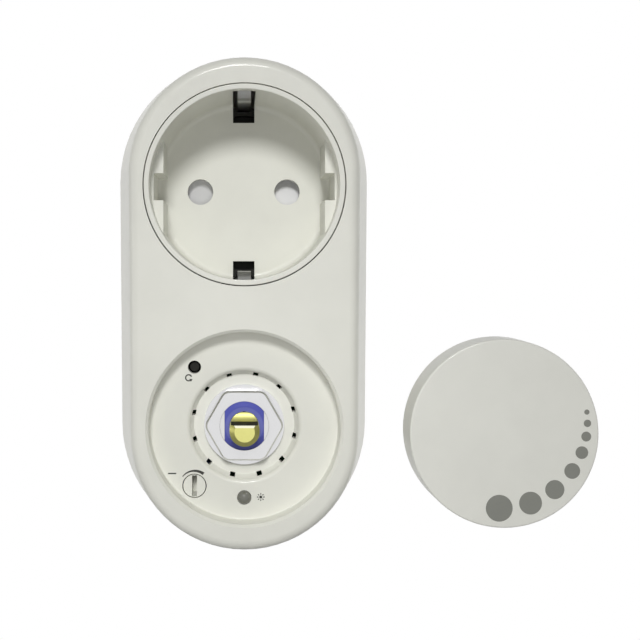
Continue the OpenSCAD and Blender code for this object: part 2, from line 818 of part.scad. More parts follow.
// Washer whose two keys rise in the nut's bore, beside the bushing's flats
module pot_washer() {
    flat_x = bushing_flats / 2 + run_fit;
    color("#dededf") bench() at_dial() {
        difference() {
            disc(washer_r, well_z, washer_z);
            intersection() {
                disc(bushing_r + loose_fit / 2, well_z - over, washer_z + over);
                block([-flat_x, -washer_r, well_z - over], [flat_x, washer_r, washer_z + over]);
            }
        }
        difference() {
            disc(bushing_r, well_z, nut_z - key_drop);
            block([-flat_x, -washer_r, well_z - over], [flat_x, washer_r, nut_z + over]);
        }
    }
}

// Hexagon with rounded corners, shrunk by inset
module nut_outline(inset) {
    reach = (nut_flats / 2 - nut_corner) / cos(30);
    polygon([for (k = [0 : 5]) each arc(reach * cos(60 * k), reach * sin(60 * k),
        nut_corner - inset, 60 * k - 30, 60 * k + 30, 6)]);
}

module pot_nut() {
    bore_r = bushing_r + run_fit;
    color("#dededf") bench() at_dial(0, 0, washer_z) difference() {
        hull() {
            linear_extrude(nut_h - nut_edge) nut_outline(0);
            linear_extrude(nut_h) nut_outline(nut_edge);
        }
        disc(bore_r, -over, nut_h + over);
    }
}

// Shaft with chamfered end edges, a flat and a milled run-out, and a stub that turns in the slider
module pot_shaft() {
    color(brass_color) bench() at_dial() difference() {
        rotate_extrude() polygon([[0, shaft_low_z - stub_length], [stub_r, shaft_low_z - stub_length],
            [stub_r, shaft_low_z], [shaft_r, shaft_low_z], [shaft_r, shaft_z - shaft_chamfer],
            [shaft_r - shaft_chamfer, shaft_z], [0, shaft_z]]);
        block([-2 * shaft_r, flat_height, flat_low_z], [2 * shaft_r, 2 * shaft_r, shaft_z + over]);
        translate([0, flat_height + runout_r, flat_low_z]) rotate([0, 90, 0])
            cylinder(r = runout_r, h = 4 * shaft_r, center = true);
        translate([0, flat_height, shaft_z]) rotate([45, 0, 0])
            cube([4 * shaft_r, sqrt(2) * flat_edge, sqrt(2) * flat_edge], center = true);
    }
}

module push_switch() {
    switch_w = 14;
    color("#26272a") bench() at_dial() difference() {
        block([-switch_w / 2, -switch_w / 2, board_front_z], [switch_w / 2, switch_w / 2, pot_z]);
        disc(slider_r + run_fit, board_front_z - over, pot_z + over);
    }
}

module switch_slider() {
    color("#e8e6dc") bench() at_dial() difference() {
        disc(slider_r, slider_z, slider_top_z);
        disc(stub_r + run_fit, shaft_low_z - stub_length - run_fit, slider_top_z + over);
    }
}

module switch_spring() {
    spring_wire = 0.25;
    coil_r = slider_r - spring_wire - loose_fit;
    low_z = board_front_z + spring_wire + run_fit;
    high_z = slider_z - spring_wire - run_fit;
    turns = 4;
    per_turn = 12;
    rings = turns * per_turn;
    color(metal_color) bench() at_dial() tube([for (i = [0 : rings]) let (a = 360 * i / per_turn)
        [coil_r * cos(a), coil_r * sin(a), low_z + (high_z - low_z) * i / rings]], spring_wire, [0, 0, 1]);
}

module knob_cap() {
    low_r = knob_r + knob_draft;
    ribs = 6;
    rib_w = 1.2;
    color("#d2d3cc") bench() at_dial(knob_aside) difference() {
        union() {
            rotate_extrude() polygon(concat(
                [[0, hub_z], [hub_r, hub_z], [hub_r, face_back_z], [low_r - knob_wall, face_back_z],
                    [low_r - knob_wall, knob_z], [low_r, knob_z]],
                arc(knob_r - knob_edge, face_z - knob_edge, knob_edge, 0, 90),
                [[0, face_z]]));
            rotate_extrude() translate([stiffener_r - stiffener_w / 2, face_back_z - stiffener_h])
                square([stiffener_w, stiffener_h + knob_face / 2]);
            for (i = [0 : ribs - 1]) rotate(360 * i / ribs)
                block([hub_r - over, -rib_w / 2, face_back_z - stiffener_h],
                    [low_r - knob_wall / 2, rib_w / 2, face_back_z + knob_face / 2]);
        }
        difference() {
            disc(shaft_r + bore_gap, hub_z - over, face_back_z);
            block([-2 * shaft_r, flat_height + bore_gap, flat_low_z + runout_r],
                [2 * shaft_r, 2 * shaft_r, face_back_z + over]);
        }
    }
}

module knob_clip() {
    gap = 40;
    color(metal_color) bench() at_dial(knob_aside, 0, hub_z + loose_fit) rotate(90 + gap / 2)
        rotate_extrude(angle = 360 - gap) translate([hub_r, 0]) square([clip_w, clip_h]);
}

module trim_pot() {
    color("#3d5f9a") bench() at_dial(trim_x, trim_y) difference() {
        block([-trim_w / 2, -trim_w / 2, board_front_z], [trim_w / 2, trim_w / 2, board_front_z + trim_h]);
        disc(trim_neck_r + run_fit, trim_seat_z - run_fit, board_front_z + trim_h + over);
    }
}

module trim_spindle() {
    color(shell_color) bench() at_dial(trim_x, trim_y) difference() {
        rotate_extrude() polygon([[0, trim_seat_z], [trim_neck_r, trim_seat_z],
            [trim_neck_r, recess_z - trim_head_h], [trim_r, recess_z - trim_head_h],
            [trim_r, recess_z], [0, recess_z]]);
        block([-trim_slot_w / 2, trim_slot_end - trim_r, recess_z - trim_slot_d],
            [trim_slot_w / 2, trim_r - trim_slot_end, recess_z + over]);
    }
}

module reset_switch() {
    color("#2b2c2e") bench() at_dial(reset_x, reset_y) difference() {
        block([-tact_w / 2, -tact_w / 2, board_front_z], [tact_w / 2, tact_w / 2, board_front_z + tact_h]);
        disc(reset_r + run_fit, board_front_z + reset_seat, board_front_z + tact_h + over);
    }
}

module reset_button() {
    color("#30302a") bench() at_dial(reset_x, reset_y)
        disc(reset_r, board_front_z + reset_seat + reset_travel + loose_fit, reset_top_z);
}

module indicator_led() {
    color("#7a7b71") bench() at_dial(0, led_y) rotate_extrude() polygon(concat(
        [[0, led_low_z], [led_flange_r, led_low_z], [led_flange_r, led_low_z + led_flange_h],
            [led_r, led_low_z + led_flange_h]],
        [for (i = [0 : arc_steps]) let (a = 90 * i / arc_steps)
            [led_r * cos(a), recess_z - led_sink + led_dome * sin(a)]]));
}

module led_spacer() {
    leg_r = 0.9;
    color("#e8e6dc") bench() at_dial(0, led_y) difference() {
        disc(led_flange_r, board_front_z, led_low_z);
        disc(leg_r, board_front_z - over, led_low_z + over);
    }
}

module heat_sink() {
    color("#b9bcc0") bench() block([heat_x, heat_y, floor_z], [heat_x + heat_w, heat_y + heat_h, floor_z + heat_t]);
}

// Flat power package on the heat sink, with three legs up to the board
module power_transistor() {
    low_z = floor_z + heat_t;
    low_x = heat_x + package_inset[0];
    low_y = heat_y + package_inset[1];
    leg_w = 0.8;
    leg_pitch = 2.54;
    leg_out = 2.4;
    color("#2a2b2d") bench() {
        block([low_x, low_y, low_z], [low_x + package_w, low_y + package_h, low_z + package_t]);
        for (k = [-1 : 1]) {
            leg_x = low_x + package_w / 2 + k * leg_pitch;
            block([leg_x - leg_w / 2, low_y - leg_out, low_z + package_t / 2 - leg_w / 2],
                [leg_x + leg_w / 2, low_y, low_z + package_t / 2 + leg_w / 2]);
            block([leg_x - leg_w / 2, low_y - leg_out, low_z + package_t / 2 - leg_w / 2],
                [leg_x + leg_w / 2, low_y - leg_out + leg_w, board_z]);
        }
    }
}

module choke_core() {
    color("#c9b458") bench() translate([choke_x, choke_y, choke_low_z]) rotate_extrude()
        translate([choke_in_r, 0]) square([choke_out_r - choke_in_r, choke_core_h]);
}

// Two windings wrapped round the core
module choke_winding() {
    wrap_angle = 140;
    gap = 0.05;
    color("#b06a3a") bench() translate([choke_x, choke_y, choke_low_z]) for (turn = [20, 200])
        rotate(turn) rotate_extrude(angle = wrap_angle) difference() {
            translate([choke_in_r - choke_wrap, -choke_wrap])
                square([choke_out_r - choke_in_r + 2 * choke_wrap, choke_core_h + 2 * choke_wrap]);
            translate([choke_in_r - gap, -gap])
                square([choke_out_r - choke_in_r + 2 * gap, choke_core_h + 2 * gap]);
        }
}

module film_capacitor() {
    low = [capacitor_x, capacitor_y, floor_z + capacitor_lift];
    color("#c9a227") bench() block(low, [low[0] + capacitor_size[0], low[1] + capacitor_size[1], board_z]);
}

module fuse() {
    color("#dfe3e2") bench() translate([fuse_x, fuse_y, fuse_z]) rotate([-90, 0, 0])
        cylinder(r = fuse_r, h = fuse_length);
}

// Two spring clips that hold the fuse by its ends
module fuse_clips() {
    clip_l = 4.5;
    clip_t = 0.5;
    clip_inset = 0.5;
    gap = 0.05;
    spots = [fuse_y + clip_inset, fuse_y + fuse_length - clip_l - clip_inset];
    color(metal_color) bench() for (y = spots) difference() {
        union() {
            block([fuse_x - fuse_r - clip_t, y, board_front_z], [fuse_x + fuse_r + clip_t, y + clip_l, fuse_z]);
            translate([fuse_x, y, fuse_z]) rotate([-90, 0, 0]) cylinder(r = fuse_r + clip_t, h = clip_l);
        }
        translate([fuse_x, y - over, fuse_z]) rotate([-90, 0, 0])
            cylinder(r = fuse_r + gap, h = clip_l + 2 * over);
        block([fuse_x - 2 * fuse_r, y - over, fuse_z + fuse_r / 2],
            [fuse_x + 2 * fuse_r, y + clip_l + over, fuse_z + 2 * fuse_r]);
    }
}

// Disc varistor standing on two legs
module varistor() {
    disc_r = 4.5;
    disc_t = 3.6;
    leg_w = 0.8;
    leg_h = 1;
    leg_x = 2.5;
    spot_y = board_top_y - varistor_drop;
    color("#3f6fae") bench() {
        translate([0, spot_y, board_front_z + leg_h + disc_r]) rotate([90, 0, 0])
            cylinder(r = disc_r, h = disc_t, center = true);
        for (side = [1, -1])
            block([side * leg_x - leg_w / 2, spot_y - leg_w / 2, board_front_z],
                [side * leg_x + leg_w / 2, spot_y + leg_w / 2, board_front_z + leg_h + disc_r / 2]);
    }
}

module control_chip() {
    color("#1f2022") bench() translate([chip_x, dial_y - chip_drop, board_front_z]) cube(chip_size);
}

module case_screws() {
    drive_w = 0.8;
    drive_r = 0.6 * screw_head_r;
    tip_gap = 3;
    head_z = back_z + screw_sink;
    color(metal_color) bench() for (s = screw_spots) translate([s[0], s[1], 0]) difference() {
        union() {
            disc(screw_head_r, head_z - screw_head_h, head_z);
            disc(screw_r, head_z - screw_head_h / 2, head_z + screw_length - tip_gap);
        }
        for (turn = [0, 90]) rotate(turn)
            block([-drive_r, -drive_w / 2, head_z - screw_head_h - over],
                [drive_r, drive_w / 2, head_z - screw_head_h / 2]);
    }
}

front_cover();
rear_cover();
plug_body();
socket_insert();
shutter();
shutter_spring();
contact_carrier();
line_contact();
neutral_contact();
earth_bow();
pin_carrier();
plug_pin_left();
plug_pin_right();
plug_earth_strips();
neutral_link();
line_lead();
dimmed_lead();
main_board();
pot_body();
pot_bushing();
pot_washer();
pot_nut();
pot_shaft();
push_switch();
switch_slider();
switch_spring();
knob_cap();
knob_clip();
trim_pot();
trim_spindle();
reset_switch();
reset_button();
indicator_led();
led_spacer();
power_transistor();
heat_sink();
choke_core();
choke_winding();
film_capacitor();
fuse();
fuse_clips();
varistor();
control_chip();
case_screws();
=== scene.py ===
"""Looks of a plug-in dimmer with an earthed socket, a rotary push dial and its knob pulled off beside it.

The frame gives every solid at its real size, in metres, +Z up and the front towards -Y.
"""
import json
import math

import bmesh
import bpy
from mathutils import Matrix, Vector


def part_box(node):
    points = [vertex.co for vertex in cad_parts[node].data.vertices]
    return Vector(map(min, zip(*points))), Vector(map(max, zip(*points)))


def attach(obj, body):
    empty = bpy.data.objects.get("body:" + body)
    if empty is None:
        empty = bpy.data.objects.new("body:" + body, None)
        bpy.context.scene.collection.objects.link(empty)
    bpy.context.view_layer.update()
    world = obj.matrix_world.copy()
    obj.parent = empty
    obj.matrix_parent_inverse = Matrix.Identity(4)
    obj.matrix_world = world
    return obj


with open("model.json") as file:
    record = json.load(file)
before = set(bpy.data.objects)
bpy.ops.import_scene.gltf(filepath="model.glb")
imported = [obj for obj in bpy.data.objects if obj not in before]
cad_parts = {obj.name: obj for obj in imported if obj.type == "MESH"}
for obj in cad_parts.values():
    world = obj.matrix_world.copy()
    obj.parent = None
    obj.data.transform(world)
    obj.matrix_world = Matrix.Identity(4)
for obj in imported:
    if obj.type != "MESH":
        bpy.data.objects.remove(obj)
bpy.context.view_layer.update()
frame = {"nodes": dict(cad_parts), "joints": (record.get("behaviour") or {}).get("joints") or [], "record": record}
nodes = frame["nodes"]
record = frame["record"]

MM = 0.001
WHITE = (1, 1, 1, 1)
joint_pos = {joint["name"]: Vector(joint["pos_m"]) for joint in frame["joints"] if "pos_m" in joint}


def middle_of(name):
    """Middle of a node's box."""
    low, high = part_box(name)
    return (Vector(low) + Vector(high)) / 2


# Places that the finishes, prints, camera and lamps are set from
front_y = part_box("front_cover")[0].y
recess_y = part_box("trim_spindle")[0].y
knob_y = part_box("knob_cap")[0].y
dial = joint_pos["shaft_turn"]
knob = joint_pos["knob_turn"]
trim = joint_pos["min_trim"]


def srgb(red, green, blue):
    """Linear colour of three 8-bit display values."""
    def linear(value):
        value /= 255
        return value / 12.92 if value <= 0.04045 else ((value + 0.055) / 1.055) ** 2.4
    return (linear(red), linear(green), linear(blue), 1.0)


def shade(color, factor):
    """A colour made lighter or darker by a factor."""
    return tuple(min(1.0, channel * factor) for channel in color[:3]) + (1.0,)


# Patterns of the finishes: the size of their blotches, the depth of their bumps and how far they vary
CLOUD = 9 * MM
PLASTIC_GLOSS = 0.3
SHEEN_PATCH = 1.5 * MM
SHEEN_SPREAD = 0.05
GRAIN = 0.16 * MM
GRAIN_DEPTH = 0.003 * MM
METAL_CLOUD = 2 * MM
SCRATCH = 0.5 * MM
SCRATCH_DEPTH = 0.0008 * MM
SCRATCH_SHINE = 0.06
SCRATCH_DULL = 0.08
LATHE_RING = 1.2 * MM
LATHE_WOBBLE = 0.6
LATHE_DEPTH = 0.0004 * MM
LATHE_PATCH = 0.4 * MM
LATHE_SPREAD = 0.03
LATHE_DARK = 0.97
LATHE_LIGHT = 1.02
RING_BLUR = 0.1 * MM
NOISE_ROUGHNESS = 0.55


class Finish:
    """A material under construction: its node tree, its shader and its object coordinates."""

    def __init__(self, name):
        self.material = bpy.data.materials.new(name)
        self.material.use_nodes = True
        self.tree = self.material.node_tree
        self.shader = self.tree.nodes["Principled BSDF"]
        self.coords = self.add("ShaderNodeTexCoord").outputs["Object"]

    def add(self, kind, **settings):
        node = self.tree.nodes.new(kind)
        for key, value in settings.items():
            setattr(node, key, value)
        return node

    def link(self, source, target):
        self.tree.links.new(source, target)

    def noise(self, size, detail=3.0):
        """Noise whose blotches are about size metres across."""
        node = self.add("ShaderNodeTexNoise")
        node.inputs["Scale"].default_value = 1 / size
        node.inputs["Detail"].default_value = detail
        node.inputs["Roughness"].default_value = NOISE_ROUGHNESS
        self.link(self.coords, node.inputs["Vector"])
        return node.outputs["Fac"]

    def vector(self, operation, source, value):
        """A vector from the source and a fixed value."""
        node = self.add("ShaderNodeVectorMath", operation=operation)
        node.inputs[1].default_value = value
        self.link(source, node.inputs[0])
        return node.outputs["Vector"]

    def spread(self, source, low, high, start=0.3, end=0.7):
        """Source between start and end, mapped onto low to high."""
        node = self.add("ShaderNodeMapRange")
        for socket, value in zip(("From Min", "From Max", "To Min", "To Max"), (start, end, low, high)):
            node.inputs[socket].default_value = value
        self.link(source, node.inputs["Value"])
        return node.outputs["Result"]

    def mix(self, factor, first, second):
        node = self.add("ShaderNodeMix", data_type="RGBA")
        node.inputs["A"].default_value = first
        node.inputs["B"].default_value = second
        self.link(factor, node.inputs["Factor"])
        return node.outputs["Result"]

    def color(self, socket):
        self.link(socket, self.shader.inputs["Base Color"])

    def rough(self, source, low, high):
        self.link(self.spread(source, low, high), self.shader.inputs["Roughness"])

    def bump(self, source, depth):
        node = self.add("ShaderNodeBump")
        node.inputs["Strength"].default_value = 1.0
        node.inputs["Distance"].default_value = depth
        self.link(source, node.inputs["Height"])
        self.link(node.outputs["Normal"], self.shader.inputs["Normal"])

    def eroded(self, roughness, grain=GRAIN):
        """The skin of a moulding: patches of slightly different sheen and a fine grain."""
        self.rough(self.noise(SHEEN_PATCH), roughness - SHEEN_SPREAD, roughness + SHEEN_SPREAD)
        self.bump(self.noise(grain, detail=2.0), GRAIN_DEPTH)

    def sets(self, **values):
        names = {"ior_level": "Specular IOR Level", "metallic": "Metallic",
                 "coat": "Coat Weight", "coat_rough": "Coat Roughness"}
        for key, value in values.items():
            self.shader.inputs[names[key]].default_value = value


def moulded(name, color, roughness=0.45, grain=GRAIN, tone=0.02, ior_level=PLASTIC_GLOSS, coat=0.0,
            coat_rough=0.12):
    """Moulded plastic: faint flow clouds in its colour, an eroded skin and, with a coat, a polish."""
    finish = Finish(name)
    clouds = finish.spread(finish.noise(CLOUD), 0, 1)
    finish.color(finish.mix(clouds, shade(color, 1 - tone), shade(color, 1 + tone)))
    finish.eroded(roughness, grain)
    finish.sets(ior_level=ior_level, coat=coat, coat_rough=coat_rough)
    return finish.material


def ringed_plastic(name, inner_color, outer_color, axis, ring_radius, roughness):
    """Plastic whose colour changes at a radius about an axis along Y."""
    finish = Finish(name)
    across = finish.vector("MULTIPLY", finish.vector("SUBTRACT", finish.coords, axis), (1, 0, 1))
    radius = finish.add("ShaderNodeVectorMath", operation="LENGTH")
    finish.link(across, radius.inputs[0])
    outside = finish.spread(radius.outputs["Value"], 0, 1, ring_radius - RING_BLUR, ring_radius + RING_BLUR)
    finish.color(finish.mix(outside, inner_color, outer_color))
    finish.eroded(roughness)
    finish.sets(ior_level=PLASTIC_GLOSS)
    return finish.material


def metal(name, color, roughness, tone=0.05, wear=1.0):
    """Plated or rolled metal with faint mottling and fine scratches."""
    finish = Finish(name)
    clouds = finish.spread(finish.noise(METAL_CLOUD), 0, 1)
    finish.color(finish.mix(clouds, shade(color, 1 - tone), shade(color, 1 + tone)))
    scratches = finish.noise(SCRATCH, detail=5.0)
    finish.rough(scratches, roughness - SCRATCH_SHINE * wear, roughness + SCRATCH_DULL * wear)
    finish.bump(finish.noise(SCRATCH / 3, detail=4.0), SCRATCH_DEPTH * wear)
    finish.sets(metallic=1.0)
    return finish.material


def turned_brass(name, color, axis, roughness):
    """Brass with the fine rings that a lathe leaves about its axis."""
    finish = Finish(name)
    rings = finish.add("ShaderNodeTexWave", wave_type="RINGS", rings_direction="Y")
    rings.inputs["Scale"].default_value = 1 / LATHE_RING
    rings.inputs["Distortion"].default_value = LATHE_WOBBLE
    finish.link(finish.vector("SUBTRACT", finish.coords, axis), rings.inputs["Vector"])
    clouds = finish.spread(finish.noise(LATHE_RING), 0, 1)
    finish.color(finish.mix(clouds, shade(color, LATHE_DARK), shade(color, LATHE_LIGHT)))
    finish.rough(finish.noise(LATHE_PATCH), roughness - LATHE_SPREAD, roughness + LATHE_SPREAD)
    finish.bump(rings.outputs["Fac"], LATHE_DEPTH)
    finish.sets(metallic=1.0)
    return finish.material


# Colours
WARM_WHITE = srgb(229, 229, 220)
KNOB_WHITE = srgb(229, 229, 221)
CARRIER_WHITE = srgb(232, 230, 218)
FLOOR_WHITE = srgb(240, 240, 238)
SHUTTER_GREY = srgb(220, 220, 220)
NUT_GREY = srgb(219, 219, 220)
# Darker than plain nickel: painted shade for the earth straps deep in their slots
NICKEL_PAINTED_SHADE = srgb(150, 150, 148)
SPRING_GREY = srgb(190, 190, 192)
SCREW_GREY = srgb(200, 200, 198)
ALUMINIUM_GREY = srgb(205, 207, 210)
CAN_GREY = srgb(180, 182, 186)
LENS_GREY = srgb(106, 106, 97)
GLASS_GREY = srgb(222, 228, 226)
PRINT_GREY = srgb(135, 136, 129)
PRINT_DARK = srgb(60, 60, 56)
BUTTON_BLACK = srgb(34, 34, 31)
LEAD_BLACK = srgb(45, 45, 46)
LEAD_BROWN = srgb(110, 72, 46)
BUSHING_BLUE = srgb(83, 88, 174)
# Lighter blue: painted light on the bushing's end face inside its chamfer, which is left the plain blue
BUSHING_PAINTED_LIGHT = srgb(103, 108, 182)
TRIM_BLUE = srgb(60, 96, 160)
BOARD_GREEN = srgb(40, 105, 62)
BRASS = srgb(200, 197, 125)
# Darker brass: painted dark reflection on the round chamfer at the shaft's tip
CHAMFER_PAINTED_REFLECTION = srgb(148, 145, 86)
# Near black: painted dark reflection on the shaft's milled flat
FLAT_PAINTED_REFLECTION = srgb(40, 39, 26)
# Near white: painted highlight on the bevel between the shaft's flat and its tip
BEVEL_PAINTED_HIGHLIGHT = srgb(252, 250, 225)
COPPER = srgb(196, 118, 70)
FERRITE_YELLOW = srgb(205, 186, 90)
CAPACITOR_YELLOW = srgb(214, 178, 60)

# Finishes by the record's material slots, and those of single faces and prints
BUSHING_PAINTED_LIGHT_RADIUS = 3.9 * MM
LENS_GRAIN = 0.5 * MM
finishes = {
    "shell": moulded("shell", WARM_WHITE, ior_level=0.4, coat=0.2, coat_rough=0.08),
    "knob": moulded("knob", KNOB_WHITE, ior_level=0.4, coat=0.2, coat_rough=0.1),
    "shutter": moulded("shutter", SHUTTER_GREY),
    "carrier": moulded("carrier", CARRIER_WHITE, roughness=0.5),
    "black_plastic": moulded("black_plastic", BUTTON_BLACK, roughness=0.5, tone=0.1, ior_level=0.15),
    # The bushing's end face inside the radius is painted lighter than its chamfer: painted light
    "bushing_blue": ringed_plastic("bushing_blue", BUSHING_PAINTED_LIGHT, BUSHING_BLUE, dial, BUSHING_PAINTED_LIGHT_RADIUS,
                                   roughness=0.35),
    "washer_grey": metal("washer_grey", NUT_GREY, roughness=0.22, tone=0.008, wear=0.2),
    "brass": turned_brass("brass", BRASS, dial, roughness=0.5),
    "nickel": metal("nickel", NICKEL_PAINTED_SHADE, roughness=0.3, tone=0.02, wear=0.3),
    "spring_steel": metal("spring_steel", SPRING_GREY, roughness=0.3),
    "screw_steel": metal("screw_steel", SCREW_GREY, roughness=0.35),
    "aluminium": metal("aluminium", ALUMINIUM_GREY, roughness=0.4),
    "pot_can": metal("pot_can", CAN_GREY, roughness=0.4),
    "board": moulded("board", BOARD_GREEN, roughness=0.35, tone=0.12),
    "lens": moulded("lens", LENS_GREY, roughness=0.2, grain=LENS_GRAIN, tone=0.05, coat=1.0, coat_rough=0.05),
    "trim_blue": moulded("trim_blue", TRIM_BLUE, roughness=0.4),
    "lead_brown": moulded("lead_brown", LEAD_BROWN, roughness=0.5),
    "lead_black": moulded("lead_black", LEAD_BLACK, roughness=0.5),
    "ferrite": moulded("ferrite", FERRITE_YELLOW),
    "copper_wire": metal("copper_wire", COPPER, roughness=0.3),
    "capacitor_yellow": moulded("capacitor_yellow", CAPACITOR_YELLOW, roughness=0.3),
    "fuse_glass": moulded("fuse_glass", GLASS_GREY, roughness=0.08),
}
# Painted light on the shaft: near black on its flat and darker brass on its tip chamfer as painted dark
# reflections, near white on its bevel as a painted highlight
flat_painted_reflection = moulded("flat_painted_reflection", FLAT_PAINTED_REFLECTION, roughness=0.7, tone=0.1, ior_level=0.05)
chamfer_painted_reflection = turned_brass("chamfer_painted_reflection", CHAMFER_PAINTED_REFLECTION, dial, roughness=0.32)
bevel_painted_highlight = metal("bevel_painted_highlight", BEVEL_PAINTED_HIGHLIGHT, roughness=0.2, tone=0.01, wear=0.2)
print_grey = moulded("print_grey", PRINT_GREY, roughness=0.5)
print_dark = moulded("print_dark", PRINT_DARK, roughness=0.5)

slot_of = {part["node"]: part["material_slot"] for part in record["subparts"]}
SHARP_EDGE = math.radians(30)


def dress(name):
    """Gives a CAD node its finish, and smooth shading that keeps its real edges."""
    piece = nodes[name]
    piece.data.materials.clear()
    piece.data.materials.append(finishes[slot_of[name]])
    piece.data.shade_smooth()
    piece.data.set_sharp_from_angle(angle=SHARP_EDGE)


for node_name in nodes:
    dress(node_name)

# The case's drafted walls are facets in CAD. Vertices within the grid's step count as one place
FACET_LIMIT = math.radians(16)
PLACE_GRID = 0.0005 * MM


def round_off(name):
    """Shades a node's facets as one curve where they meet within the limit. Its vertices stay as they are."""
    mesh = nodes[name].data
    places = [tuple(round(value / PLACE_GRID) for value in vertex.co) for vertex in mesh.vertices]
    faces_at = {}
    for face in mesh.polygons:
        for index in face.vertices:
            faces_at.setdefault(places[index], []).append(face)
    least = math.cos(FACET_LIMIT)
    normals = [None] * len(mesh.loops)
    for face in mesh.polygons:
        for loop, index in zip(face.loop_indices, face.vertices):
            total = Vector()
            for other in faces_at[places[index]]:
                if other.normal.dot(face.normal) > least:
                    total += other.normal * other.area
            normals[loop] = total.normalized() if total.length > 0 else face.normal
    mesh.normals_split_custom_set(normals)


for node_name in ("front_cover", "rear_cover"):
    round_off(node_name)

# The shaft's milled flat is painted near black and the round chamfer at its tip a darker brass than its
# turned faces, both painted dark reflections, and the bevel between flat and tip is painted near white, a
# painted highlight. Its faces are told apart by their place and the slope of their normal
PAINTED_DARK_FLAT, CHAMFERED, PAINTED_HIGHLIGHT_BEVEL = 1, 2, 3
FLAT_RISE = 1 * MM
FLAT_SLOPE = 0.99
TIP_LENGTH = 1 * MM
TIP_SLOPE_LEAST = 0.3
TIP_SLOPE_MOST = 0.95
BEVEL_SLOPE = 0.6
shaft = nodes["pot_shaft"].data
for material in (flat_painted_reflection, chamfer_painted_reflection, bevel_painted_highlight):
    shaft.materials.append(material)
tip_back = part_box("pot_shaft")[0].y + TIP_LENGTH
for face in shaft.polygons:
    if face.normal.z > FLAT_SLOPE and face.center.z > dial.z + FLAT_RISE:
        face.material_index = PAINTED_DARK_FLAT
    elif face.center.y < tip_back and TIP_SLOPE_LEAST < -face.normal.y < TIP_SLOPE_MOST:
        face.material_index = PAINTED_HIGHLIGHT_BEVEL if face.normal.z > BEVEL_SLOPE else CHAMFERED

# Prints: thin inked shapes on a front face, drawn in metres about a centre, x to the right and z up
INK = 0.03 * MM
INK_SEAT = 0.004 * MM


def ring_points(x, z, radius, count, start=0.0, end=math.tau):
    """Points round a circle or along an arc, whose last point is left out on a full circle."""
    last = count if end - start >= math.tau else count - 1
    return [(x + radius * math.cos(start + (end - start) * i / last),
             z + radius * math.sin(start + (end - start) * i / last)) for i in range(count)]


def inked(name, outlines, center, face_y, material, body):
    """Closed outlines printed on a face that looks towards -Y."""
    mesh = bpy.data.meshes.new(name)
    build = bmesh.new()
    for outline in outlines:
        rings = [[build.verts.new((center.x + x, y, center.z + z)) for x, z in outline]
                 for y in (face_y - INK_SEAT, face_y - INK_SEAT - INK)]
        count = len(outline)
        for i in range(count):
            j = (i + 1) % count
            build.faces.new((rings[0][i], rings[0][j], rings[1][j], rings[1][i]))
        for ring in rings:
            build.faces.new(ring)
    bmesh.ops.recalc_face_normals(build, faces=build.faces)
    build.to_mesh(mesh)
    build.free()
    mesh.materials.append(material)
    piece = bpy.data.objects.new(name, mesh)
    bpy.context.scene.collection.objects.link(piece)
    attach(piece, body)


# Row of growing dots that stands for rising brightness, on a circle a little off the knob's own
DOT_CIRCLE = 16.8 * MM
DOT_CENTER = knob + Vector((-0.66, 0, 2.29)) * MM
DOT_FIRST = 0.5 * MM
DOT_STEP = 0.2 * MM
DOT_RISE = 0.0145 * MM
DOT_ANGLES = (6.6, -0.9, -9.7, -20.8, -34.6, -51.6, -70.1, -91.3)
dots = []
for i, degrees in enumerate(DOT_ANGLES):
    radius = DOT_FIRST + DOT_STEP * i + DOT_RISE * i ** 2
    angle = math.radians(degrees)
    dots.append(ring_points(DOT_CIRCLE * math.cos(angle), DOT_CIRCLE * math.sin(angle), radius, count=40))
inked("knob_dots", dots, DOT_CENTER, knob_y, print_grey, "knob")

# Wedge arc round the trim spindle, thin where the lowest brightness is low
WEDGE_RADIUS = 3.1 * MM
WEDGE_WIDE = 0.62 * MM
WEDGE_THIN = 0.15 * MM
WEDGE_FROM = math.radians(53)
WEDGE_TO = math.radians(142)
WEDGE_STEPS = 18
outer, inner = [], []
for i in range(WEDGE_STEPS + 1):
    share = i / WEDGE_STEPS
    angle = WEDGE_FROM + (WEDGE_TO - WEDGE_FROM) * share
    half_width = (WEDGE_WIDE + (WEDGE_THIN - WEDGE_WIDE) * share) / 2
    for side, points in ((1, outer), (-1, inner)):
        radius = WEDGE_RADIUS + side * half_width
        points.append((radius * math.cos(angle), radius * math.sin(angle)))
inked("trim_wedge", [outer + inner[::-1]], trim, recess_y, print_dark, "housing")

# Minus sign left of the wedge's thin end
SIGN_LINE = 0.26 * MM
MINUS_LENGTH = 1.7 * MM
MINUS_CENTER = trim + Vector((-4.6, 0, 2.55)) * MM
minus = [(x * MINUS_LENGTH / 2, z * SIGN_LINE / 2) for x, z in ((-1, -1), (1, -1), (1, 1), (-1, 1))]
inked("trim_sign", [minus], MINUS_CENTER, recess_y, print_dark, "housing")

# Turning arrow below and left of the reset button: an open ring with an arrow head at its end
TURN_CENTER = middle_of("reset_button") + Vector((-1.2, 0, -2.2)) * MM
TURN_RADIUS = 0.62 * MM
TURN_FROM = math.radians(20)
TURN_TO = math.radians(300)
TURN_POINTS = 20
ARROW_LENGTH = 0.55 * MM
ARROW_HALF = 0.36 * MM
band = (ring_points(0, 0, TURN_RADIUS + SIGN_LINE / 2, TURN_POINTS, TURN_FROM, TURN_TO)
        + ring_points(0, 0, TURN_RADIUS - SIGN_LINE / 2, TURN_POINTS, TURN_FROM, TURN_TO)[::-1])
outward = Vector((math.cos(TURN_TO), math.sin(TURN_TO)))
onward = Vector((-outward.y, outward.x))
arrow = [outward * TURN_RADIUS + onward * ARROW_LENGTH, outward * (TURN_RADIUS + ARROW_HALF),
         outward * (TURN_RADIUS - ARROW_HALF)]
inked("reset_sign", [band, arrow], TURN_CENTER, recess_y, print_dark, "housing")

